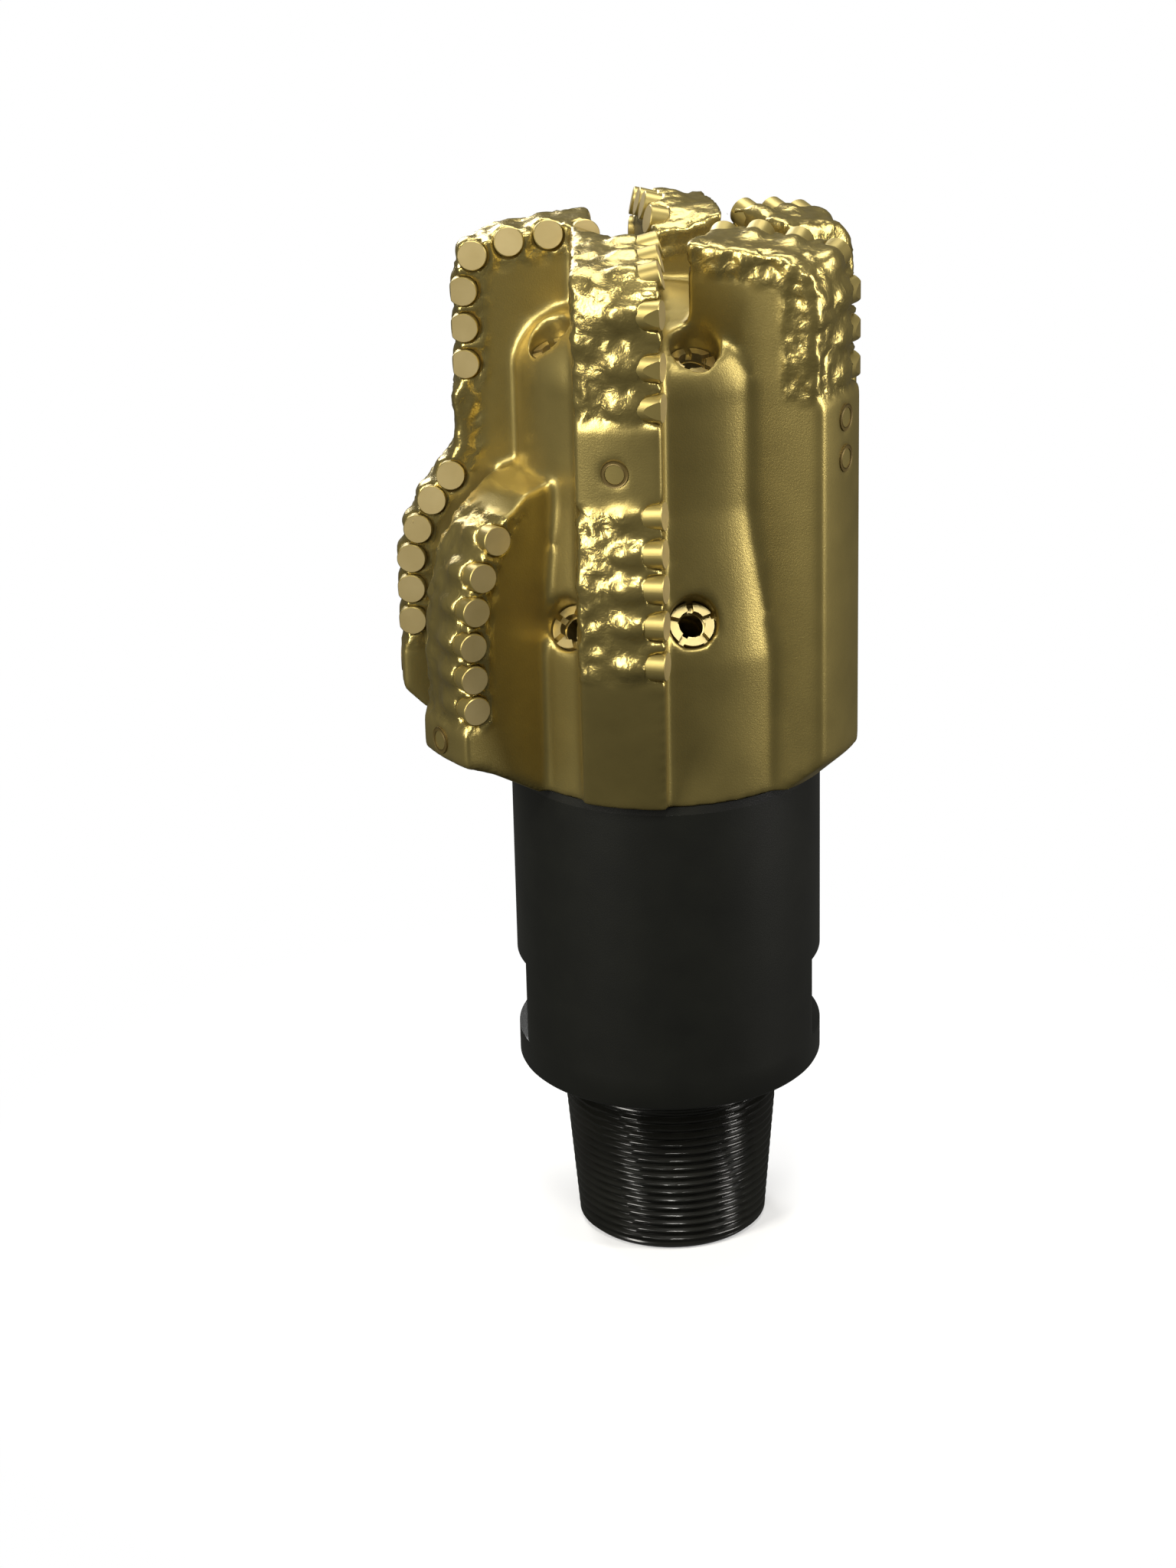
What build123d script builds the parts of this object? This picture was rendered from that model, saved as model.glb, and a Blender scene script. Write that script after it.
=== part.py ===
"""Bicentre PDC drill bit: a steel crown with a concentric pilot and an offset reamer wing,
screwed and welded onto a shank that ends in a tapered pin.

Frame: millimetres, Z along the bit axis. The origin is the centre of the pin's end face and
+Z runs towards the cutting end. Azimuths are counted from -Y towards +X, the way the bit
turns, so the leading face of a blade is the one on its higher azimuth side.
"""

import os
from math import atan2, cos, degrees, hypot, radians, sin

from build123d import *

# ---- pin and shank -------------------------------------------------------------------
PIN_LENGTH = 127.0
PIN_BASE_R = 76.1
PIN_TAPER = 1 / 12  # loss of radius per unit of length
PIN_RELIEF_R = 74.5  # plain round neck under the shoulder
PIN_RELIEF_LENGTH = 12.7
PIN_NOSE_CHAMFER = 3.5
WATER_BORE_R = 41.3
SHANK_R = 104.8
SHANK_LENGTH = 222.0
SHOULDER_BEVEL = 3.0
BREAKER_HALF_WIDTH = 98.0  # axis to breaker flat
BREAKER_SLOT_HEIGHT = 58.0
BREAKER_SLOT_RISE = 23.0  # shoulder to the slot's lower edge
SPIGOT_R = 80.0
SPIGOT_LENGTH = 55.0
WELD_LEG = 6.0

# ---- crown between the blades ----------------------------------------------------------
SKIRT_R = 106.5
FLOOR_R = 95.0  # junk slot floor beside the pilot
SKIRT_TOP = 96.0  # heights above the crown's lower end
FLARE_TOP = 196.0
RIM_R = 68.0
RIM_DROP = 13.0  # face centre to its rim
RIM_ROUNDING = 43.0  # rim down to the straight floor
FACE_DEPTH = 38.0  # nose to the face between the blades
PLENUM_R = 48.0
PLENUM_TOP = 200.0

# ---- pilot -----------------------------------------------------------------------------
PILOT_GAUGE_R = 135.0
NOSE_R = 55.0  # cutter centres: axis, nose, shoulder and gauge
NOSE_RISE = 362.0
CONE_DEPTH = 21.0
SHOULDER_R = 104.0
SHOULDER_FALL = 6.0  # nose to shoulder
SHOULDER_RISE = NOSE_RISE - SHOULDER_FALL
SHOULDER_CUTTER_RADIUS = 24.0
PAD_DEPTH = 98.0  # nose to the gauge pads
PILOT_PAD_TOP = NOSE_RISE - PAD_DEPTH
FACE_TOP = NOSE_RISE - FACE_DEPTH
RIM_TOP = FACE_TOP - RIM_DROP
FLOOR_TOP = RIM_TOP - RIM_ROUNDING
PAD_STEP_RUN = 4.0
BLADE_THICKNESS = 55.0

# ---- cutters, gauge buttons and nozzles ------------------------------------------------
CUTTER_R = 9.5
CUTTER_LENGTH = 16.0
CUTTER_BEVEL = 0.5
CUTTER_EXPOSURE = 6.0  # how far a cutter stands above its blade
BACK_RAKE = 15.0
FACE_PROUD = 1.0  # cutter face ahead of the blade's leading face
BUTTON_R = 6.5
BUTTON_LENGTH = 10.0
BUTTON_GROOVE_R = 8.3
BUTTON_GROOVE_DEPTH = 0.8
PORT_R = 15.8
PORT_DEPTH = 9.0  # floor to the nozzle's face
PORT_RELIEF = 5.0  # how far the port runs on around the nozzle's head
PORT_REACH = 40.0
NOZZLE_R = 14.5
NOZZLE_LENGTH = 24.0
NOZZLE_MOUTH_R = 8.8
NOZZLE_THROAT_R = 8.2
NOZZLE_SLOTS = 5
NOZZLE_SLOT_WIDTH = 4.0
NOZZLE_SLOT_DEPTH = 5.0
SEAL_CORD_R = 1.5
SEAL_RISE = 5.0  # nozzle's lower end to the seal's centre
PASSAGE_R = 10.0
PASSAGE_LENGTH = 90.0

Z_SHOULDER = PIN_LENGTH
Z_CROWN = Z_SHOULDER + SHANK_LENGTH
COVER = CUTTER_R - CUTTER_EXPOSURE  # cutter centre to the blade surface

# Each reamer list gives cutter centres as (radius, height above the crown's lower end).
# Each outline runs down the blade below the pilot, in the same terms.
SHORT_WING = [(131, 207), (137, 184), (141, 162), (142, 138), (142, 111)]
SHORT_WING_OUTLINE = [
    (135, 212), (141, 184), (145, 162), (146, 138), (146, 100), (112, 0),
]
LONG_WING = [(140, 204), (153, 188), (163, 169), (168, 149), (169, 128), (169, 106)]
LONG_WING_OUTLINE = [
    (135, 224), (143.5, 207), (157, 191), (167, 172), (172, 149), (173, 128), (173, 90),
    (176, 86), (176, 58), (118, 0),
]
SIDE_WING = [(144, 182), (157, 160), (163.5, 138.5), (167, 115.5), (167, 93.5), (166, 72)]
SIDE_WING_OUTLINE = [
    (90, 212), (118, 207), (147.5, 186), (160.5, 163), (167, 140), (170.5, 116), (170.5, 62),
    (175, 58), (175, 34), (150, 23), (112, 0),
]
REAR_WING = [(138, 182), (151, 160), (157.5, 138.5), (160, 115.5), (160, 93.5), (160, 72)]
REAR_WING_OUTLINE = [
    (90, 212), (118, 207), (141.5, 186), (154.5, 163), (161, 140), (163.5, 116), (163.5, 62),
    (168, 58), (168, 34), (150, 23), (112, 0),
]
PLAIN_OUTLINE = [(135, 21), (112, 0)]

# azimuth: the leading face's radial plane.  inner: where the blade starts from the axis.
# pilot: distances along the cutter line from the axis.  gauge: the cutters' outermost radius.
# buttons: (azimuth, radius, height) of the gauge buttons.
# nozzle: mouths ahead of the blade as (azimuth, radius, height, angle above horizontal).
BLADES = {
    "blade_1": dict(
        azimuth=0.5, inner=8, pilot=(30, 57, 84, 113, 143, 176, 202),
        wing=SHORT_WING, gauge=152, outline=SHORT_WING_OUTLINE,
        buttons=[(-12.5, 135, 235)], nozzles=[(16, 79, 300, 72), (11, 104, 128, 35)],
    ),
    "blade_2": dict(
        azimuth=-47, inner=60, pilot=(),
        wing=SIDE_WING, gauge=177, outline=SIDE_WING_OUTLINE,
        buttons=[(-57, 175, 46)], nozzles=[(-38, 104, 121, 35)],
    ),
    "blade_3": dict(
        azimuth=-80, inner=38, pilot=(50, 75, 101, 127, 152, 176, 200),
        wing=LONG_WING, gauge=177, outline=LONG_WING_OUTLINE,
        buttons=[(-88, 176, 72)], nozzles=[(-62, 79, 300, 72), (-71, 104, 121, 35)],
    ),
    "blade_4": dict(
        azimuth=-115, inner=60, pilot=(),
        wing=REAR_WING, gauge=170, outline=REAR_WING_OUTLINE,
        buttons=[(-125, 168, 46)], nozzles=[(-105, 104, 121, 35)],
    ),
    "blade_5": dict(
        azimuth=-172, inner=20, thickness=46, pilot=(44, 69, 95, 121, 148, 172, 198),
        wing=SHORT_WING, gauge=152, outline=SHORT_WING_OUTLINE,
        buttons=[(-184.5, 135, 235)], nozzles=[(-155, 79, 300, 72), (-160, 104, 128, 35)],
    ),
    "blade_6": dict(
        azimuth=128, inner=62, pilot=(75, 99, 123, 150, 174, 200),
        wing=(), gauge=135, outline=PLAIN_OUTLINE,
        buttons=[(116, 135, 250), (116, 135, 223)], nozzles=[(138, 84, 293, 68)],
    ),
    "blade_7": dict(
        azimuth=73, inner=36, pilot=(48, 73, 99, 125, 151, 176, 200),
        wing=(), gauge=135, outline=PLAIN_OUTLINE,
        buttons=[(61.5, 135, 250), (61.5, 135, 223)], nozzles=[(90, 79, 300, 72)],
    ),
}


def pilot_station(distance):
    """Cutter centre (radius, height) and outward angle at a distance along the cutter line."""
    cone = hypot(NOSE_R, CONE_DEPTH)
    flank = hypot(SHOULDER_R - NOSE_R, NOSE_RISE - SHOULDER_RISE)
    arc = SHOULDER_CUTTER_RADIUS * radians(90)
    if distance < cone:
        part = distance / cone
        height = NOSE_RISE - CONE_DEPTH * (1 - part)
        return NOSE_R * part, height, 90 + degrees(atan2(CONE_DEPTH, NOSE_R))
    distance -= cone
    if distance < flank:
        part = distance / flank
        fall = NOSE_RISE - SHOULDER_RISE
        run = SHOULDER_R - NOSE_R
        return NOSE_R + run * part, NOSE_RISE - fall * part, degrees(atan2(run, fall))
    distance -= flank
    if distance < arc:
        angle = 90 - degrees(distance / SHOULDER_CUTTER_RADIUS)
        radius = SHOULDER_R + SHOULDER_CUTTER_RADIUS * cos(radians(angle))
        drop = SHOULDER_CUTTER_RADIUS * (1 - sin(radians(angle)))
        return radius, SHOULDER_RISE - drop, angle
    distance -= arc
    gauge_start = SHOULDER_RISE - SHOULDER_CUTTER_RADIUS
    return SHOULDER_R + SHOULDER_CUTTER_RADIUS, gauge_start - distance, 0.0


def wing_stations(centres):
    """Cutter centres of a reamer with the outward angle of the line through them."""
    stations = []
    last = len(centres) - 1
    for index, (radius, height) in enumerate(centres):
        above = centres[max(index - 1, 0)]
        below = centres[min(index + 1, last)]
        angle = degrees(atan2(below[0] - above[0], above[1] - below[1]))
        stations.append((radius, height, angle))
    return stations


def at_azimuth(azimuth):
    """Frame of a blade: X runs outwards along its radial plane, Y the way the bit turns."""
    return Pos(0, 0, Z_CROWN) * Rot(0, 0, azimuth - 90)


def cutter_frame(azimuth, station):
    """Frame on a cutter's face: Z runs out of the face, X outwards across it."""
    radius, height, angle = station
    outward = Vector(cos(radians(angle)), 0, sin(radians(angle)))
    rake = radians(BACK_RAKE)
    normal = Vector(0, 1, 0) * cos(rake) + outward * sin(rake)
    across = outward * cos(rake) - Vector(0, 1, 0) * sin(rake)
    plane = Plane(origin=(radius, FACE_PROUD, height), x_dir=across, z_dir=normal)
    return at_azimuth(azimuth) * Location(plane)


def cutter(frame, gauge):
    """Compact with its diamond face and bevelled rim, ground off at the gauge."""
    blank = Cylinder(CUTTER_R, CUTTER_LENGTH, align=(Align.CENTER, Align.CENTER, Align.MAX))
    blank = chamfer(blank.edges().group_by(Axis.Z)[-1], CUTTER_BEVEL)
    placed = frame * blank
    trim = Pos(0, 0, Z_CROWN) * Cylinder(
        gauge, 2 * NOSE_RISE, align=(Align.CENTER, Align.CENTER, Align.MIN)
    )
    return placed & trim


def core():
    """Crown without blades: skirt, flare, junk slot floor and face, as one revolve."""
    outline = (
        Polyline((0, 0), (SKIRT_R, 0), (SKIRT_R, SKIRT_TOP), (FLOOR_R, FLARE_TOP),
                 (FLOOR_R, FLOOR_TOP))
        + ThreePointArc(
            (FLOOR_R, FLOOR_TOP),
            (FLOOR_R - 0.27 * (FLOOR_R - RIM_R), FLOOR_TOP + 0.67 * (RIM_TOP - FLOOR_TOP)),
            (RIM_R, RIM_TOP),
        )
        + Polyline((RIM_R, RIM_TOP), (0, FACE_TOP), (0, 0))
    )
    return Pos(0, 0, Z_CROWN) * revolve(Plane.XZ * make_face(outline), Axis.Z)


def blade_envelope(blade):
    """Solid of revolution that a blade's outer surface lies on."""
    nose_top = NOSE_RISE + COVER
    shoulder = SHOULDER_RISE + COVER
    arc_r = SHOULDER_CUTTER_RADIUS + COVER
    arc_z = SHOULDER_RISE - SHOULDER_CUTTER_RADIUS
    pad_top = PILOT_PAD_TOP
    face_r = SHOULDER_R + arc_r
    if not blade["pilot"]:
        points = [(0, blade["outline"][0][1])] + blade["outline"] + [(0, 0)]
        wire = Polyline(*points, close=True)
    else:
        below = [(face_r, arc_z), (face_r, pad_top + PAD_STEP_RUN), (PILOT_GAUGE_R, pad_top)]
        below += blade["outline"] + [(0, 0), (0, nose_top - CONE_DEPTH)]
        wire = (
            Polyline((0, nose_top - CONE_DEPTH), (NOSE_R, nose_top), (SHOULDER_R, shoulder))
            + CenterArc((SHOULDER_R, arc_z), arc_r, 0, 90)
            + Polyline(*below)
        )
    return Pos(0, 0, Z_CROWN) * revolve(Plane.XZ * make_face(wire), Axis.Z)


def blade_body(blade):
    """Parallel-sided slab turned to the blade's outline."""
    reach = 2 * PILOT_GAUGE_R
    block = Pos(blade["inner"], 0, 0) * Box(
        reach, blade.get("thickness", BLADE_THICKNESS), 2 * NOSE_RISE, align=(Align.MIN, Align.MAX, Align.MIN)
    )
    return at_azimuth(blade["azimuth"]) * block & blade_envelope(blade)


def nozzle_frame(mouth):
    """Frame at a nozzle's mouth: Z runs out of it."""
    azimuth, radius, height, rise = mouth
    return at_azimuth(azimuth) * Pos(radius, 0, height) * Rot(0, 90 - rise, 0)


def down(radius, length, start=0.0):
    """Cylinder that runs down from a height of -start."""
    align = (Align.CENTER, Align.CENTER, Align.MAX)
    return Pos(0, 0, -start) * Cylinder(radius, length, align=align)


def nozzle_cut(mouth):
    """Port, nozzle socket and passage to the plenum."""
    tool = Pos(0, 0, PORT_REACH) * down(PORT_R, PORT_REACH + PORT_DEPTH + PORT_RELIEF)
    tool += down(NOZZLE_R, NOZZLE_LENGTH, PORT_DEPTH)
    tool += down(PASSAGE_R, PASSAGE_LENGTH, PORT_DEPTH + NOZZLE_LENGTH)
    return nozzle_frame(mouth) * tool


def nozzle(mouth):
    """Screwed nozzle with a castellated head and a seal groove."""
    body = down(NOZZLE_R, NOZZLE_LENGTH, PORT_DEPTH)
    body -= down(NOZZLE_MOUTH_R, NOZZLE_SLOT_DEPTH + 2, PORT_DEPTH)
    throat_length = NOZZLE_LENGTH - NOZZLE_SLOT_DEPTH - 2
    align = (Align.CENTER, Align.CENTER, Align.MAX)
    throat = Cone(PASSAGE_R, NOZZLE_THROAT_R, throat_length, align=align)
    body -= Pos(0, 0, -PORT_DEPTH - NOZZLE_SLOT_DEPTH - 2) * throat
    slot = Box(
        NOZZLE_R + 2, NOZZLE_SLOT_WIDTH, NOZZLE_SLOT_DEPTH,
        align=(Align.MIN, Align.CENTER, Align.MAX),
    )
    for index in range(NOZZLE_SLOTS):
        turn = Rot(0, 0, 36 + index * 360 / NOZZLE_SLOTS)
        body -= Pos(0, 0, -PORT_DEPTH) * turn * slot
    seal_z = PORT_DEPTH + NOZZLE_LENGTH - SEAL_RISE
    groove = down(NOZZLE_R + 1, 2 * SEAL_CORD_R, seal_z - SEAL_CORD_R)
    groove -= down(NOZZLE_R - 2 * SEAL_CORD_R, 2 * SEAL_CORD_R, seal_z - SEAL_CORD_R)
    return nozzle_frame(mouth) * (body - groove)


def seal(mouth):
    """O-ring that fills the nozzle's groove out to the socket wall."""
    seal_z = PORT_DEPTH + NOZZLE_LENGTH - SEAL_RISE
    return nozzle_frame(mouth) * Pos(0, 0, -seal_z) * Torus(NOZZLE_R - SEAL_CORD_R, SEAL_CORD_R)


def button_frame(button):
    """Frame on a gauge pad: Z runs outwards."""
    azimuth, radius, height = button
    return at_azimuth(azimuth) * Pos(radius, 0, height) * Rot(0, 90, 0)


def button_cut(button):
    """Socket for a gauge button and the groove around it."""
    tool = Pos(0, 0, 5) * down(BUTTON_R, BUTTON_LENGTH + 5)
    tool += Pos(0, 0, 5) * down(BUTTON_GROOVE_R, BUTTON_GROOVE_DEPTH + 5)
    return button_frame(button) * tool


def gauge_button(button):
    """Carbide button ground flush with the pad."""
    flush = Pos(0, 0, Z_CROWN) * Cylinder(button[1], 2 * NOSE_RISE)
    return button_frame(button) * Pos(0, 0, 2) * down(BUTTON_R, BUTTON_LENGTH + 2) & flush


def shank():
    """Shank with its bore, breaker slots, threaded pin cone and the spigot for the crown."""
    pin_r = PIN_BASE_R - PIN_TAPER * PIN_LENGTH
    relief_z = PIN_LENGTH - PIN_RELIEF_LENGTH
    relief_cone_r = PIN_BASE_R - PIN_TAPER * PIN_RELIEF_LENGTH
    top = Z_CROWN + SPIGOT_LENGTH
    points = [
        (WATER_BORE_R, 0),
        (pin_r - PIN_NOSE_CHAMFER, 0),
        (pin_r, PIN_NOSE_CHAMFER),
        (relief_cone_r, relief_z),
        (PIN_RELIEF_R, relief_z + 1),
        (PIN_RELIEF_R, Z_SHOULDER),
        (SHANK_R - SHOULDER_BEVEL, Z_SHOULDER),
        (SHANK_R, Z_SHOULDER + SHOULDER_BEVEL),
        (SHANK_R, Z_CROWN - WELD_LEG),
        (SHANK_R - WELD_LEG, Z_CROWN),
        (SPIGOT_R, Z_CROWN),
        (SPIGOT_R, top - 2),
        (SPIGOT_R - 2, top),
        (WATER_BORE_R, top),
    ]
    body = revolve(Plane.XZ * make_face(Polyline(*points, close=True)), Axis.Z)
    slot = Box(
        SHANK_R, 2 * SHANK_R, BREAKER_SLOT_HEIGHT, align=(Align.MIN, Align.CENTER, Align.MIN)
    )
    low = Z_SHOULDER + BREAKER_SLOT_RISE
    body -= Pos(BREAKER_HALF_WIDTH, 0, low) * slot
    body -= Rot(0, 0, 180) * Pos(BREAKER_HALF_WIDTH, 0, low) * slot
    return body


def crown_weld():
    """Weld that fills the groove between the shank's top edge and the crown."""
    points = [(SHANK_R, Z_CROWN - WELD_LEG), (SHANK_R, Z_CROWN), (SHANK_R - WELD_LEG, Z_CROWN)]
    return revolve(Plane.XZ * make_face(Polyline(*points, close=True)), Axis.Z)


def cutter_frames(blade, kind):
    """Frames of a blade's pilot or reamer cutters."""
    if kind == "pilot":
        stations = [pilot_station(distance) for distance in blade["pilot"]]
    else:
        stations = wing_stations(blade["wing"])
    return [cutter_frame(blade["azimuth"], station) for station in stations]


def gauge_of(blade, kind):
    """Outermost radius of a blade's cutters."""
    return PILOT_GAUGE_R if kind == "pilot" else blade["gauge"]


def crown_body():
    """Crown with its blades, pockets, ports, passages and the socket for the spigot."""
    body = core()
    for blade in BLADES.values():
        body += blade_body(blade)
    socket = Pos(0, 0, Z_CROWN) * Cylinder(
        SPIGOT_R, SPIGOT_LENGTH, align=(Align.CENTER, Align.CENTER, Align.MIN)
    )
    plenum = Pos(0, 0, Z_CROWN) * Cylinder(
        PLENUM_R, PLENUM_TOP, align=(Align.CENTER, Align.CENTER, Align.MIN)
    )
    body -= socket
    body -= plenum
    for blade in BLADES.values():
        for mouth in blade["nozzles"]:
            body -= nozzle_cut(mouth)
        for button in blade["buttons"]:
            body -= button_cut(button)
    return body


def build():
    """All nodes by name."""
    nodes = {}
    body = crown_body()
    for name, blade in BLADES.items():
        for kind in ("pilot", "wing"):
            frames = cutter_frames(blade, kind)
            if frames:
                pieces = [cutter(frame, gauge_of(blade, kind)) for frame in frames]
                nodes[f"cutters_{kind}_{name}"] = Compound(children=pieces)
                for piece in pieces:
                    body -= piece
        nodes[f"gauge_buttons_{name}"] = Compound(
            children=[gauge_button(button) for button in blade["buttons"]]
        )
        for index, mouth in enumerate(blade["nozzles"]):
            place = "pilot" if mouth[3] > 45 else "wing"
            nodes[f"nozzle_{place}_{name}"] = nozzle(mouth)
            nodes[f"seal_{place}_{name}"] = seal(mouth)
    nodes["crown_body"] = body.solids().sort_by(SortBy.VOLUME)[-1]
    nodes["shank"] = shank()
    nodes["crown_weld"] = crown_weld()
    return nodes


os.makedirs("parts", exist_ok=True)
for name, node in build().items():
    export_step(node, f"parts/{name}.step")
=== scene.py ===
"""Looks of the bicentre PDC drill bit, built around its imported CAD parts."""

import math

import bmesh
import bpy
import numpy as np
from mathutils import Matrix, Vector, noise


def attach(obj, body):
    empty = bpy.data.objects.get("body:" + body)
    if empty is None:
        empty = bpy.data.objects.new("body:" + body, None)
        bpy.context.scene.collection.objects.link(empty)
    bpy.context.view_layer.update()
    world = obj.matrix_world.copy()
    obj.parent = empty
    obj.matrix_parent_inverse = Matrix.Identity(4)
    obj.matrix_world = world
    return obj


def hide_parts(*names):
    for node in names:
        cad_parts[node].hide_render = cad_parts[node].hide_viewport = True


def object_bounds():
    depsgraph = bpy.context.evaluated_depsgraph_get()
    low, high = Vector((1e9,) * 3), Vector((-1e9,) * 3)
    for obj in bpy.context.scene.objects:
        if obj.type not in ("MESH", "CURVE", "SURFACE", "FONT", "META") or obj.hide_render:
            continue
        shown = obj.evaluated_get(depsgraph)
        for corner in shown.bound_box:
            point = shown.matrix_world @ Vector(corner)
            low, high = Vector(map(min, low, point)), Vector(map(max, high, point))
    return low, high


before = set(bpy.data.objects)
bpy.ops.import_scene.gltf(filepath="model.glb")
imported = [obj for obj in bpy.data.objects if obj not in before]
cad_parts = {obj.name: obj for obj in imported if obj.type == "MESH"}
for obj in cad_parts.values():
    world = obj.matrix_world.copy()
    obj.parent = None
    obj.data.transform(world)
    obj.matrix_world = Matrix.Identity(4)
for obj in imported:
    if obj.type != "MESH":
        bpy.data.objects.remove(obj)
LOWEST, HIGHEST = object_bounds()

bl_info = {
    "name": "PDC drill bit looks",
    "version": (1, 0, 0),
    "blender": (4, 2, 0),
    "location": "View3D > Sidebar > Drill bit",
    "description": "Hardfaced crown, threaded pin, finishes and stage for a bicentre PDC bit",
    "category": "Object",
}

MM = 0.001
INSIDE = 0.0001  # how far new meshes stay inside the CAD model's box, in metres

# outlines of the blades below the pilot, as radius and height in millimetres
SHORT = [(135, 561), (141, 533), (145, 511), (146, 487), (146, 449), (112, 349)]
LONG = [
    (135, 573), (143.5, 556), (157, 540), (167, 521), (172, 498), (173, 477), (173, 439),
    (176, 435), (176, 407), (118, 349),
]
SIDE = [
    (95, 560), (118, 556), (147.5, 535), (160.5, 512), (167, 489), (170.5, 465), (170.5, 411),
    (175, 407), (175, 383), (150, 372), (112, 349),
]
REAR = [
    (95, 560), (118, 556), (141.5, 535), (154.5, 512), (161, 489), (163.5, 465), (163.5, 411),
    (168, 407), (168, 383), (150, 372), (112, 349),
]
PLAIN = [(135, 370), (112, 349)]
# the pilot's gauge above those outlines, and its nose, in millimetres
PILOT_EDGE = [(131.5, 680), (131.5, 617), (135, 613)]
NOSE_RADII = [0, 55, 104, 122, 131.5]
NOSE_HEIGHTS = [693.5, 714.5, 708.5, 700, 680]
# each blade: azimuth of its leading face in degrees, inner radius, whether it has a pilot part,
# outline, ranges of height that are hardfaced, and gauge radius, in millimetres
BLADES = {
    "blade_1": (0.5, 8, True, SHORT, [(616, 730), (448, 560)], 152),
    "blade_2": (-47, 60, False, SIDE, [(408, 545)], 177),
    "blade_3": (-80, 38, True, LONG, [(436, 730)], 177),
    "blade_4": (-115, 60, False, REAR, [(408, 545)], 170),
    "blade_5": (-172, 20, True, SHORT, [(616, 730), (448, 560)], 152),
    "blade_6": (128, 62, True, PLAIN, [(616, 730)], 135),
    "blade_7": (73, 36, True, PLAIN, [(616, 730)], 135),
}
# reach of a blade's hardfacing, in millimetres
HARDFACING_WIDTH = 21  # from the blade's edge inwards
BLADE_SPAN = (-60, 4)  # behind and ahead of its leading face
INNER_MARGIN = 4  # inside its inner radius

# each gauge button: azimuth in degrees, gauge radius and height in millimetres
BUTTONS = [
    (0.5 - 13, 135, 584), (-47 - 10, 175, 395), (-80 - 8, 176, 421), (-125, 168, 395),
    (-184.5, 135, 584), (116, 135, 599), (116, 135, 572), (61.5, 135, 599), (61.5, 135, 572),
]
# section of the groove around a button, in millimetres: distance from the button's axis and
# height over a datum, which stands GROOVE_DATUM outside the gauge
GROOVE = [(6.3, 0.25), (6.9, -0.1), (8.0, -0.1), (8.8, 0.25), (8.8, -2.0), (6.3, -2.0)]
GROOVE_DATUM = 0.25
GROOVE_SIDES = 48

# a fairing behind a cutter: distance along it and radius, in metres
FAIRING = [(0, 0.0099), (0.010, 0.0099), (0.015, 0.0088), (0.020, 0.0060), (0.024, 0.002)]
FAIRING_START = 0.0135  # behind the cutter's face
FAIRING_SIDES = 20
CUTTER_END = 0.0045  # depth of the slice that a cutter's end is averaged over
PILOT_LIMIT = 0.1345  # largest radius of a fairing on the pilot
WING_CLEARANCE = 0.5  # from a fairing on the wing to the gauge, in millimetres
CUTTER_REACH = 0.030  # length behind a cutter's face that stays free of beads
CALM_RANGE = (0.0098, 0.0135)  # distances from its axis where the beads start and are full

SMOOTHING_PASSES = 4
# hardfacing beads: scale and share of the slow swell, the ridges and the fine grain
SWELL = (62, 0.9)
RIDGE = (105, 0.85)
RIDGE_SHIFT = Vector((7, 3, 1))
RIDGE_SHARPNESS = 2.4
FINE = (210, 0.25)
BEAD_SINK = 0.3

# shank, in metres
PIN_LENGTH = 0.127
PIN_RADIUS = 0.0761  # of the thread's crests, at the shoulder
PIN_TAPER = 12  # length over which the radius grows by one
THREAD_DEPTH = 0.0030
THREAD_FLAT = 0.1  # share of half a pitch at the root
THREAD_FLANK = 0.72  # share of half a pitch on the flank
THREAD_START, START_FADE = 0.004, 0.005  # height, and the length that it fades in over
THREAD_END, END_FADE = 0.1135, 0.004
THREAD_FOOT = 0.0035  # lowest row of vertices
THREAD_RUN = 0.1107  # from there to the highest row
THREAD_COUNTED = 0.1102  # length that the number of rows is worked out from
THREAD_ROWS = 20  # rows in one pitch
BORE = 0.0413
SLEEVE = 0.1048
SLOT_FLAT = 0.098
SHANK_SIDES = 160
# the outline as radius and height, from the bore over the pin's end up to the spigot's top
PIN_END = [(BORE, 0.0), (0.062, 0.0)]
SHOULDER = [
    (0.0745, 0.1153), (0.0745, 0.1262), (0.0752, PIN_LENGTH), (0.1012, PIN_LENGTH),
    (0.1028, 0.1274), (0.1041, 0.1286), (SLEEVE, 0.130), (SLEEVE, 0.1500),
]
SLOT_ROWS = [0.1501] + [0.15 + 0.058 * k / 8 for k in range(1, 8)] + [0.2079]
SLEEVE_ROWS = [0.208] + [0.208 + 0.135 * k / 6 for k in range(1, 7)]
SPIGOT = [(0.0988, 0.349), (0.080, 0.349), (0.080, 0.402), (0.078, 0.404), (BORE, 0.404)]

CAMERA_PLACE = (0, -2.3243, 1.2463)
CAMERA_PITCH, CAMERA_YAW, CAMERA_ROLL = 21.622, -1.311, -1.388  # degrees
CAMERA_LENS = 84.15


class BitSettings(bpy.types.PropertyGroup):
    """Sizes and finishes that can be changed."""

    voxel: bpy.props.FloatProperty(
        name="Crown grid", description="Grid size of the crown's skin", default=0.0032,
        min=0.0015, max=0.01, unit="LENGTH",
    )
    bead: bpy.props.FloatProperty(
        name="Hardfacing relief", description="Depth of the weld beads in the hardfacing",
        default=0.0018, min=0.0, max=0.004, unit="LENGTH",
    )
    pitch: bpy.props.FloatProperty(
        name="Thread pitch", description="Distance between the pin's threads",
        default=0.00635, min=0.004, max=0.009, unit="LENGTH",
    )
    paint: bpy.props.FloatVectorProperty(
        name="Paint", description="Colour of the metallic paint", subtype="COLOR", size=3,
        default=(0.42, 0.33, 0.11), min=0.0, max=1.0,
    )


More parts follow.
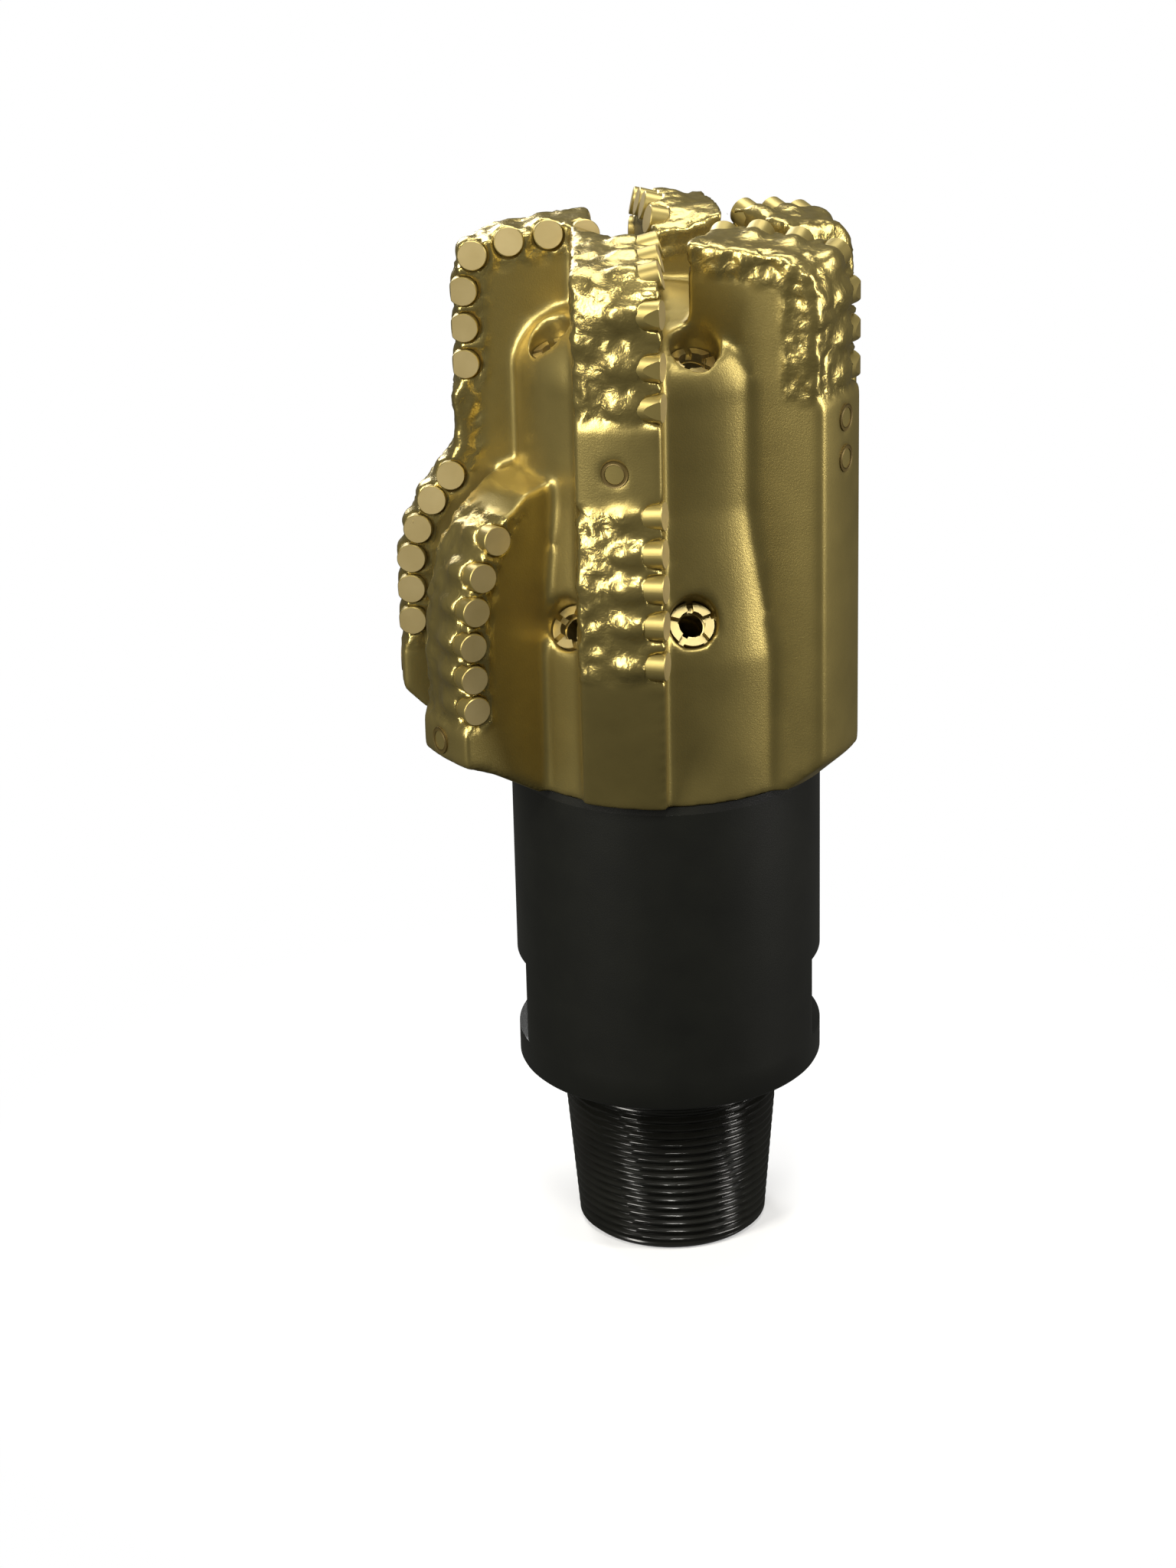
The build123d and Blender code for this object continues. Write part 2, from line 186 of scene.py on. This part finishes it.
# ---- shared helpers and node groups ----------------------------------------------------
def put(name, data):
    """New object in the scene for a mesh, light or camera."""
    thing = bpy.data.objects.new(name, data)
    bpy.context.collection.objects.link(thing)
    return thing


def join_rings(bm, rings):
    """Faces between each ring of vertices and the next."""
    for low, high in zip(rings, rings[1:]):
        for k in range(len(low)):
            n = (k + 1) % len(low)
            bm.faces.new((low[k], low[n], high[n], high[k]))


def new_group(name, inputs, outputs):
    """Empty shader node group with named sockets."""
    group = bpy.data.node_groups.new(name, "ShaderNodeTree")
    for label, kind, value in inputs:
        socket = group.interface.new_socket(name=label, in_out="INPUT", socket_type=kind)
        socket.default_value = value
    for label, kind in outputs:
        group.interface.new_socket(name=label, in_out="OUTPUT", socket_type=kind)
    return group, group.nodes.new("NodeGroupInput"), group.nodes.new("NodeGroupOutput")


def add(nodes, kind, inputs=None, **values):
    """Node of a kind with its attributes and inputs set."""
    node = nodes.new(kind)
    for key, value in values.items():
        setattr(node, key, value)
    for key, value in (inputs or {}).items():
        node.inputs[key].default_value = value
    return node


def relief_group():
    """Grain, machining marks and weld ripples as a normal and a shade mask."""
    group, source, sink = new_group(
        "BitRelief",
        [("Hardfacing", "NodeSocketFloat", 0.0), ("Grain", "NodeSocketFloat", 0.3),
         ("Strength", "NodeSocketFloat", 0.5)],
        [("Normal", "NodeSocketVector"), ("Shade", "NodeSocketFloat")],
    )
    nodes, links = group.nodes, group.links
    place = add(nodes, "ShaderNodeTexCoord")
    grain = add(nodes, "ShaderNodeTexNoise", {"Scale": 900, "Detail": 3})
    ripple = add(nodes, "ShaderNodeTexNoise", {"Scale": 150, "Detail": 3, "Distortion": 0.6})
    blobs = add(nodes, "ShaderNodeTexVoronoi", {"Scale": 95}, feature="SMOOTH_F1")
    patch = add(nodes, "ShaderNodeTexNoise", {"Scale": 28, "Detail": 4})
    for node in (grain, ripple, blobs, patch):
        links.new(place.outputs["Object"], node.inputs["Vector"])
    grain_height = add(nodes, "ShaderNodeMath", operation="MULTIPLY")
    links.new(grain.outputs["Fac"], grain_height.inputs[0])
    links.new(source.outputs["Grain"], grain_height.inputs[1])
    weld = add(nodes, "ShaderNodeMath", operation="SUBTRACT")
    links.new(ripple.outputs["Fac"], weld.inputs[0])
    links.new(blobs.outputs["Distance"], weld.inputs[1])
    weld_height = add(nodes, "ShaderNodeMath", operation="MULTIPLY")
    links.new(weld.outputs[0], weld_height.inputs[0])
    links.new(source.outputs["Hardfacing"], weld_height.inputs[1])
    total = add(nodes, "ShaderNodeMath", {1: 3.5}, operation="MULTIPLY_ADD")
    links.new(weld_height.outputs[0], total.inputs[0])
    links.new(grain_height.outputs[0], total.inputs[2])
    bump = add(nodes, "ShaderNodeBump", {"Distance": 0.0006})
    links.new(source.outputs["Strength"], bump.inputs["Strength"])
    links.new(total.outputs[0], bump.inputs["Height"])
    links.new(bump.outputs["Normal"], sink.inputs["Normal"])
    links.new(patch.outputs["Fac"], sink.inputs["Shade"])


def finish_material(name, dark, light, metallic, roughness, grain, strength, attribute=None):
    """Painted or coated metal: colour between dark and light, relief from the shared group.
    The attribute, where there is one, is the mask of the hardfacing."""
    material = bpy.data.materials.new(name)
    material.use_nodes = True
    nodes, links = material.node_tree.nodes, material.node_tree.links
    shader = nodes["Principled BSDF"]
    relief = add(
        nodes, "ShaderNodeGroup", {"Grain": grain, "Strength": strength},
        node_tree=bpy.data.node_groups["BitRelief"],
    )
    mix = add(nodes, "ShaderNodeMix", {"A": (*dark, 1), "B": (*light, 1)}, data_type="RGBA")
    sharpen = add(nodes, "ShaderNodeMapRange", {"From Min": 0.3, "From Max": 0.7})
    links.new(relief.outputs["Shade"], sharpen.inputs["Value"])
    links.new(sharpen.outputs["Result"], mix.inputs["Factor"])
    links.new(mix.outputs["Result"], shader.inputs["Base Color"])
    links.new(relief.outputs["Normal"], shader.inputs["Normal"])
    shader.inputs["Metallic"].default_value = metallic
    shader.inputs["Roughness"].default_value = roughness
    if attribute:
        mask = add(nodes, "ShaderNodeAttribute", attribute_name=attribute)
        links.new(mask.outputs["Fac"], relief.inputs["Hardfacing"])
        rough = add(nodes, "ShaderNodeMapRange", {"To Min": roughness, "To Max": 0.26})
        links.new(mask.outputs["Fac"], rough.inputs["Value"])
        links.new(rough.outputs["Result"], shader.inputs["Roughness"])
    return material


# ---- crown -----------------------------------------------------------------------------
def outward(azimuth):
    """Unit vectors of a blade: out along its radial plane, and the way the bit turns."""
    a = math.radians(azimuth)
    return Vector((math.sin(a), -math.cos(a), 0)), Vector((math.cos(a), math.sin(a), 0))


def smoothstep(low, high, values):
    """Smooth ramp from 0 at low to 1 at high."""
    t = np.clip((values - low) / (high - low), 0, 1)
    return t * t * (3 - 2 * t)


def hardfacing_mask(co):
    """How far each point is covered by hardfacing, from 0 to 1. The points are in millimetres."""
    radius = np.hypot(co[:, 0], co[:, 1])
    z = co[:, 2]
    mask = np.zeros(len(co))
    for azimuth, inner, pilot, outline, ranges, _ in BLADES.values():
        out, turn = outward(azimuth)
        x = co[:, 0] * out.x + co[:, 1] * out.y
        y = co[:, 0] * turn.x + co[:, 1] * turn.y
        near = (x > inner - INNER_MARGIN) & (y > BLADE_SPAN[0]) & (y < BLADE_SPAN[1])
        line = (PILOT_EDGE if pilot else []) + outline
        line = np.array(sorted(line, key=lambda p: p[1]), float)
        edge = np.interp(z, line[:, 1], line[:, 0])
        top = np.interp(radius, NOSE_RADII, NOSE_HEIGHTS)
        depth = np.minimum(edge - radius, top - z) if pilot else edge - radius
        zone = np.zeros(len(co))
        for low, high in ranges:
            band = smoothstep(low - 3, low + 3, z) * (1 - smoothstep(high - 2, high + 2, z))
            zone = np.maximum(zone, band)
        rim = 1 - smoothstep(HARDFACING_WIDTH - 4, HARDFACING_WIDTH + 1, depth)
        mask = np.maximum(mask, near * zone * rim)
    return mask


def bosses(bm):
    """Fairings behind the cutters: closed tapered rods, put into the crown before it is skinned.
    Returns the centre of each cutter's face and the direction it runs back in."""
    lines = []
    for name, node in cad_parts.items():
        if not name.startswith("cutters_"):
            continue
        kind, blade = name.split("_", 2)[1:]
        azimuth, gauge = BLADES[blade][0], BLADES[blade][5]
        limit = PILOT_LIMIT if kind == "pilot" else (gauge - WING_CLEARANCE) * MM
        turn = outward(azimuth)[1]
        for island in islands(node.data):
            co = np.array([node.data.vertices[i].co for i in island])
            along = co @ np.array(turn)
            front = co[along > along.max() - CUTTER_END].mean(0)
            back = co[along < along.min() + CUTTER_END].mean(0)
            axis = Vector(back - front).normalized()
            lines.append((front, np.array(axis)))
            start = Vector(front) + axis * FAIRING_START
            side = axis.orthogonal().normalized()
            other = axis.cross(side)
            loops = []
            for step, r in FAIRING:
                centre = start + axis * step
                loop = []
                for k in range(FAIRING_SIDES):
                    a = 2 * math.pi * k / FAIRING_SIDES
                    p = centre + (side * math.cos(a) + other * math.sin(a)) * r
                    reach = math.hypot(p.x, p.y)
                    if reach > limit:
                        p.x *= limit / reach
                        p.y *= limit / reach
                    loop.append(bm.verts.new(p))
                loops.append(loop)
            join_rings(bm, loops)
            bm.faces.new(list(reversed(loops[0])))
            bm.faces.new(loops[-1])
    return lines


def clear_of_cutters(co, lines):
    """1 away from the cutters and their fairings, falling to 0 beside them. Metres."""
    keep = np.ones(len(co))
    for front, axis in lines:
        offset = co - front
        along = np.clip(offset @ axis, 0, CUTTER_REACH)
        gap = np.linalg.norm(offset - along[:, None] * axis, axis=1)
        keep = np.minimum(keep, smoothstep(*CALM_RANGE, gap))
    return keep


def islands(mesh):
    """Lists of vertex indices, one for each separate solid. Corners are joined by position."""
    key = {}
    parent = list(range(len(mesh.vertices)))

    def find(i):
        while parent[i] != i:
            parent[i] = parent[parent[i]]
            i = parent[i]
        return i

    for v in mesh.vertices:
        place = tuple(round(c, 6) for c in v.co)
        if place in key:
            parent[find(v.index)] = find(key[place])
        else:
            key[place] = v.index
    for edge in mesh.edges:
        parent[find(edge.vertices[0])] = find(edge.vertices[1])
    groups = {}
    for v in mesh.vertices:
        groups.setdefault(find(v.index), []).append(v.index)
    return list(groups.values())


def skin_crown(settings):
    """Crown with rounded roots, fairings and hardfacing relief, from the CAD crown."""
    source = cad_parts["crown_body"]
    mesh = source.data.copy()
    mesh.materials.clear()
    bm = bmesh.new()
    bm.from_mesh(mesh)
    bmesh.ops.remove_doubles(bm, verts=bm.verts, dist=1e-6)
    lines = bosses(bm)
    bmesh.ops.recalc_face_normals(bm, faces=bm.faces)
    bm.to_mesh(mesh)
    bm.free()
    crown = put("crown_skin", mesh)
    bpy.context.view_layer.objects.active = crown
    bpy.ops.object.select_all(action="DESELECT")
    crown.select_set(True)
    mesh.remesh_voxel_size = settings.voxel
    mesh.remesh_voxel_adaptivity = 0.0
    bpy.ops.object.voxel_remesh()
    mesh = crown.data
    bm = bmesh.new()
    bm.from_mesh(mesh)
    for _ in range(SMOOTHING_PASSES):
        bmesh.ops.smooth_vert(
            bm, verts=bm.verts, factor=0.5, use_axis_x=True, use_axis_y=True, use_axis_z=True
        )
    bm.to_mesh(mesh)
    bm.free()
    co = np.empty(len(mesh.vertices) * 3)
    mesh.vertices.foreach_get("co", co)
    co = co.reshape(-1, 3)
    normals = np.array([v.normal for v in mesh.vertices])
    mask = hardfacing_mask(co / MM)
    calm = clear_of_cutters(co, lines)
    lift = np.zeros(len(co))
    for i in np.nonzero(mask > 0.01)[0]:
        p = Vector(co[i])
        slow = noise.noise(p * SWELL[0])
        ridge = 1 - abs(noise.noise(p * RIDGE[0] + RIDGE_SHIFT)) * RIDGE_SHARPNESS
        fine = noise.noise(p * FINE[0])
        height = SWELL[1] * slow + RIDGE[1] * ridge + FINE[1] * fine - BEAD_SINK
        lift[i] = mask[i] * calm[i] * height
    co += normals * (lift * settings.bead)[:, None]
    co = np.clip(co, np.array(LOWEST) + INSIDE, np.array(HIGHEST) - INSIDE)
    mesh.vertices.foreach_set("co", co.ravel())
    layer = mesh.attributes.new("hardfacing", "FLOAT", "POINT")
    layer.data.foreach_set("value", mask.astype(np.float32))
    mesh.update()
    for polygon in mesh.polygons:
        polygon.use_smooth = True
    mesh.materials.append(
        finish_material(
            "bit_gold_paint", tuple(0.82 * c for c in settings.paint), settings.paint,
            metallic=0.85, roughness=0.36, grain=0.5, strength=0.35, attribute="hardfacing",
        )
    )
    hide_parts("crown_body")
    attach(crown, "root")


# ---- shank -----------------------------------------------------------------------------
def thread_radius(z, angle, pitch):
    """Radius of the tapered pin with its thread. The helix sinks as the angle grows, so it is
    left-hand, where a bit's pin is right-hand: for that the phase takes the angle away."""
    crest = PIN_RADIUS - (PIN_LENGTH - z) / PIN_TAPER
    phase = (z / pitch + angle / (2 * math.pi)) % 1.0
    wave = abs(phase - 0.5) * 2
    depth = THREAD_DEPTH * (1 - min(max((wave - THREAD_FLAT) / THREAD_FLANK, 0), 1))
    rise = min(max((z - THREAD_START) / START_FADE, 0), 1)
    fall = min(max((THREAD_END - z) / END_FADE, 0), 1)
    return crest - depth * (rise * fall)


def threaded_shank(settings):
    """Shank with a real helical pin thread, breaker slots and its bore."""
    stations = [(r, z, None) for r, z in PIN_END]
    steps = int(THREAD_COUNTED / (settings.pitch / THREAD_ROWS))
    for k in range(steps + 1):
        stations.append((None, THREAD_FOOT + THREAD_RUN * k / steps, "thread"))
    stations += [(r, z, None) for r, z in SHOULDER]
    stations += [(SLEEVE, z, "slot") for z in SLOT_ROWS]
    stations += [(SLEEVE, z, None) for z in SLEEVE_ROWS]
    stations += [(r, z, None) for r, z in SPIGOT]
    bm = bmesh.new()
    rings = []
    for r, z, kind in stations:
        ring = []
        for k in range(SHANK_SIDES):
            a = 2 * math.pi * k / SHANK_SIDES
            radius = thread_radius(z, a, settings.pitch) if kind == "thread" else r
            x, y = radius * math.cos(a), radius * math.sin(a)
            if kind == "slot":
                x = min(max(x, -SLOT_FLAT), SLOT_FLAT)
            ring.append(bm.verts.new((x, y, z)))
        rings.append(ring)
    join_rings(bm, rings + rings[:1])
    bmesh.ops.recalc_face_normals(bm, faces=bm.faces)
    mesh = bpy.data.meshes.new("shank_threaded")
    bm.to_mesh(mesh)
    bm.free()
    for polygon in mesh.polygons:
        polygon.use_smooth = True
    mesh.set_sharp_from_angle(angle=math.radians(38))
    shank = put("shank_threaded", mesh)
    mesh.materials.append(
        finish_material(
            "bit_black_coating", (0.0045, 0.0048, 0.0036), (0.007, 0.0074, 0.0055),
            metallic=0.0, roughness=0.40, grain=0.35, strength=0.25,
        )
    )
    mesh.materials.append(
        finish_material(
            "bit_oiled_thread", (0.006, 0.006, 0.005), (0.010, 0.010, 0.008),
            metallic=0.0, roughness=0.2, grain=0.2, strength=0.2,
        )
    )
    for polygon in mesh.polygons:
        if polygon.center.z < PIN_LENGTH - 0.0002:
            polygon.material_index = 1
    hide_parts("shank")
    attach(shank, "root")


# ---- small pieces ----------------------------------------------------------------------
def button_rings():
    """Narrow sunken rings around the gauge buttons, coloured dark brown as painted shade in the
    grooves.
    """
    # dark brown, far darker than the gold paint: painted shade of the narrow grooves
    material = finish_material(
        "bit_button_groove_painted_shade", (0.10, 0.07, 0.02), (0.16, 0.11, 0.03),
        metallic=0.6, roughness=0.5, grain=0.2, strength=0.2,
    )
    bm = bmesh.new()
    for azimuth, radius, height in BUTTONS:
        out, turn = outward(azimuth)
        up = Vector((0, 0, 1))
        loops = []
        for r, lift in GROOVE:
            loop = []
            for k in range(GROOVE_SIDES):
                a = 2 * math.pi * k / GROOVE_SIDES
                across, rise = r * math.cos(a), r * math.sin(a)
                depth = math.sqrt(radius * radius - across * across) + lift + GROOVE_DATUM
                p = out * depth + turn * across + up * (height + rise)
                p *= MM
                p.x = max(p.x, LOWEST[0] + INSIDE)
                loop.append(bm.verts.new(p))
            loops.append(loop)
        join_rings(bm, loops + loops[:1])
    bmesh.ops.recalc_face_normals(bm, faces=bm.faces)
    mesh = bpy.data.meshes.new("button_grooves")
    bm.to_mesh(mesh)
    bm.free()
    mesh.materials.append(material)
    rings = put("button_grooves", mesh)
    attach(rings, "root")


def paint_nodes(settings):
    """Finishes of the CAD pieces that are shown as they are."""
    gold = settings.paint
    face = finish_material(
        "bit_cutter", (0.40, 0.31, 0.13), (0.50, 0.40, 0.19),
        metallic=0.55, roughness=0.42, grain=0.15, strength=0.15,
    )
    nozzle = finish_material(
        "bit_nozzle", (0.46, 0.36, 0.14), (0.62, 0.52, 0.26),
        metallic=0.9, roughness=0.32, grain=0.2, strength=0.2,
    )
    button = finish_material(
        "bit_button", tuple(0.85 * c for c in gold), gold,
        metallic=0.8, roughness=0.38, grain=0.2, strength=0.2,
    )
    seal = finish_material(
        "bit_seal", (0.01, 0.01, 0.01), (0.02, 0.02, 0.02),
        metallic=0.0, roughness=0.6, grain=0.1, strength=0.1,
    )
    weld = finish_material(
        "bit_weld", (0.01, 0.01, 0.01), (0.02, 0.02, 0.016),
        metallic=0.2, roughness=0.4, grain=0.4, strength=0.5,
    )
    kinds = {
        "cutters": face, "nozzle": nozzle, "gauge": button, "seal": seal, "crown": weld,
    }
    for name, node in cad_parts.items():
        kind = name.split("_")[0]
        if name in ("crown_body", "shank"):
            continue
        node.data.materials.clear()
        node.data.materials.append(kinds[kind])
        if kind == "cutters":
            node.data.materials.append(button)
            turn = outward(BLADES["blade_" + name[-1]][0])[1]
            for polygon in node.data.polygons:
                polygon.material_index = 0 if polygon.normal.dot(turn) > 0.9 else 1


# ---- stage -----------------------------------------------------------------------------
def area_light(name, place, target, size, power, colour=(1, 1, 1)):
    """Rectangular softbox aimed at a point."""
    data = bpy.data.lights.new(name, "AREA")
    data.shape = "RECTANGLE"
    data.size, data.size_y = size
    data.energy = power
    data.color = colour
    light = put(name, data)
    light.location = place
    aim = (Vector(target) - Vector(place)).to_track_quat("-Z", "Y")
    light.rotation_euler = aim.to_euler()


def floor_material():
    """Pale floor that takes the bit's shadow nearby and fades to the backdrop's white."""
    material = bpy.data.materials.new("stage_floor")
    material.use_nodes = True
    nodes, links = material.node_tree.nodes, material.node_tree.links
    shader, sink = nodes["Principled BSDF"], nodes["Material Output"]
    shader.inputs["Base Color"].default_value = (0.9, 0.9, 0.9, 1)
    shader.inputs["Roughness"].default_value = 0.6
    place = add(nodes, "ShaderNodeTexCoord")
    reach = add(nodes, "ShaderNodeVectorMath", operation="LENGTH")
    fade = add(
        nodes, "ShaderNodeMapRange", {"From Min": 0.05, "From Max": 0.55, "To Min": 0.35},
        interpolation_type="SMOOTHSTEP",
    )
    path = add(nodes, "ShaderNodeLightPath")
    share = add(nodes, "ShaderNodeMath", operation="MULTIPLY")
    glow = add(nodes, "ShaderNodeEmission")
    mix = add(nodes, "ShaderNodeMixShader")
    links.new(place.outputs["Object"], reach.inputs[0])
    links.new(reach.outputs["Value"], fade.inputs["Value"])
    links.new(fade.outputs["Result"], share.inputs[0])
    links.new(path.outputs["Is Camera Ray"], share.inputs[1])
    links.new(share.outputs[0], mix.inputs["Fac"])
    links.new(shader.outputs["BSDF"], mix.inputs[1])
    links.new(glow.outputs["Emission"], mix.inputs[2])
    links.new(mix.outputs["Shader"], sink.inputs["Surface"])
    return material


def build_stage():
    """Pale floor and backdrop, softboxes and the camera."""
    scene = bpy.context.scene
    scene.view_settings.view_transform = "Standard"
    world = bpy.data.worlds.new("studio")
    scene.world = world
    world.use_nodes = True
    nodes, links = world.node_tree.nodes, world.node_tree.links
    shader = nodes["Background"]
    path = add(nodes, "ShaderNodeLightPath")
    colours = {"A": (0.075, 0.075, 0.07, 1), "B": (1, 1, 1, 1)}
    mix = add(nodes, "ShaderNodeMix", colours, data_type="RGBA")
    links.new(path.outputs["Is Camera Ray"], mix.inputs["Factor"])
    links.new(mix.outputs["Result"], shader.inputs["Color"])
    floor_mesh = bpy.data.meshes.new("floor")
    bm = bmesh.new()
    bmesh.ops.create_circle(bm, cap_ends=True, radius=6.0, segments=96)
    bm.to_mesh(floor_mesh)
    bm.free()
    floor = put("floor", floor_mesh)
    floor.location.z = -0.0004
    floor_mesh.materials.append(floor_material())
    floor.visible_glossy = False
    floor.visible_diffuse = False
    centre = (0, 0, 0.45)
    area_light("key_left", (-1.6, -1.5, 1.5), centre, (0.7, 1.9), 70, (1, 0.97, 0.9))
    area_light("fill_right", (1.9, -0.5, 1.1), centre, (0.5, 1.9), 40, (1, 0.97, 0.92))
    area_light("front_high", (0.1, -1.5, 2.3), (0, 0, 0.6), (0.6, 0.5), 30, (1, 0.98, 0.92))
    area_light("top", (0.1, 0.5, 2.2), (0, 0, 0.7), (1.4, 1.0), 30)
    area_light("back", (-0.9, 1.9, 1.5), centre, (0.8, 1.4), 28)
    data = bpy.data.cameras.new("camera")
    data.sensor_width = 36
    data.lens = CAMERA_LENS
    data.clip_start = 0.05
    camera = put("camera", data)
    pitch, yaw, roll = (math.radians(a) for a in (CAMERA_PITCH, CAMERA_YAW, CAMERA_ROLL))
    level = math.cos(pitch)
    forward = Vector((math.sin(yaw) * level, math.cos(yaw) * level, -math.sin(pitch)))
    right = forward.cross(Vector((0, 0, 1))).normalized()
    up = right.cross(forward)
    side = right * math.cos(roll) + up * math.sin(roll)
    rise = up * math.cos(roll) - right * math.sin(roll)
    turn = Matrix((side, rise, -forward)).transposed().to_4x4()
    camera.matrix_world = Matrix.Translation(CAMERA_PLACE) @ turn
    scene.camera = camera


# ---- operators and panel ---------------------------------------------------------------
class BIT_OT_crown(bpy.types.Operator):
    """Skin the crown with rounded roots and hardfacing."""

    bl_idname = "bit.crown"
    bl_label = "Build crown"

    def execute(self, context):
        skin_crown(context.scene.bit_settings)
        button_rings()
        return {"FINISHED"}


class BIT_OT_shank(bpy.types.Operator):
    """Build the shank with its threaded pin."""

    bl_idname = "bit.shank"
    bl_label = "Build shank"

    def execute(self, context):
        threaded_shank(context.scene.bit_settings)
        return {"FINISHED"}


class BIT_OT_finishes(bpy.types.Operator):
    """Give the cutters, nozzles, buttons and seals their finishes."""

    bl_idname = "bit.finishes"
    bl_label = "Paint small pieces"

    def execute(self, context):
        paint_nodes(context.scene.bit_settings)
        return {"FINISHED"}


class BIT_OT_stage(bpy.types.Operator):
    """Set up the floor, lights and camera."""

    bl_idname = "bit.stage"
    bl_label = "Build stage"

    def execute(self, context):
        build_stage()
        return {"FINISHED"}


class BIT_PT_panel(bpy.types.Panel):
    """Settings and steps of the drill bit."""

    bl_idname = "BIT_PT_panel"
    bl_label = "Drill bit"
    bl_space_type = "VIEW_3D"
    bl_region_type = "UI"
    bl_category = "Drill bit"

    def draw(self, context):
        for key in ("voxel", "bead", "pitch", "paint"):
            self.layout.prop(context.scene.bit_settings, key)
        for step in ("bit.crown", "bit.shank", "bit.finishes", "bit.stage"):
            self.layout.operator(step)


CLASSES = (
    BitSettings, BIT_OT_crown, BIT_OT_shank, BIT_OT_finishes, BIT_OT_stage, BIT_PT_panel,
)


def register():
    """Register the classes and the scene's settings."""
    for item in CLASSES:
        bpy.utils.register_class(item)
    bpy.types.Scene.bit_settings = bpy.props.PointerProperty(type=BitSettings)


def unregister():
    """Remove the scene's settings and the classes."""
    del bpy.types.Scene.bit_settings
    for item in reversed(CLASSES):
        bpy.utils.unregister_class(item)


def main():
    """Build the bit."""
    register()
    relief_group()
    bpy.ops.bit.crown()
    bpy.ops.bit.shank()
    bpy.ops.bit.finishes()
    bpy.ops.bit.stage()


if __name__ == "__main__":
    main()
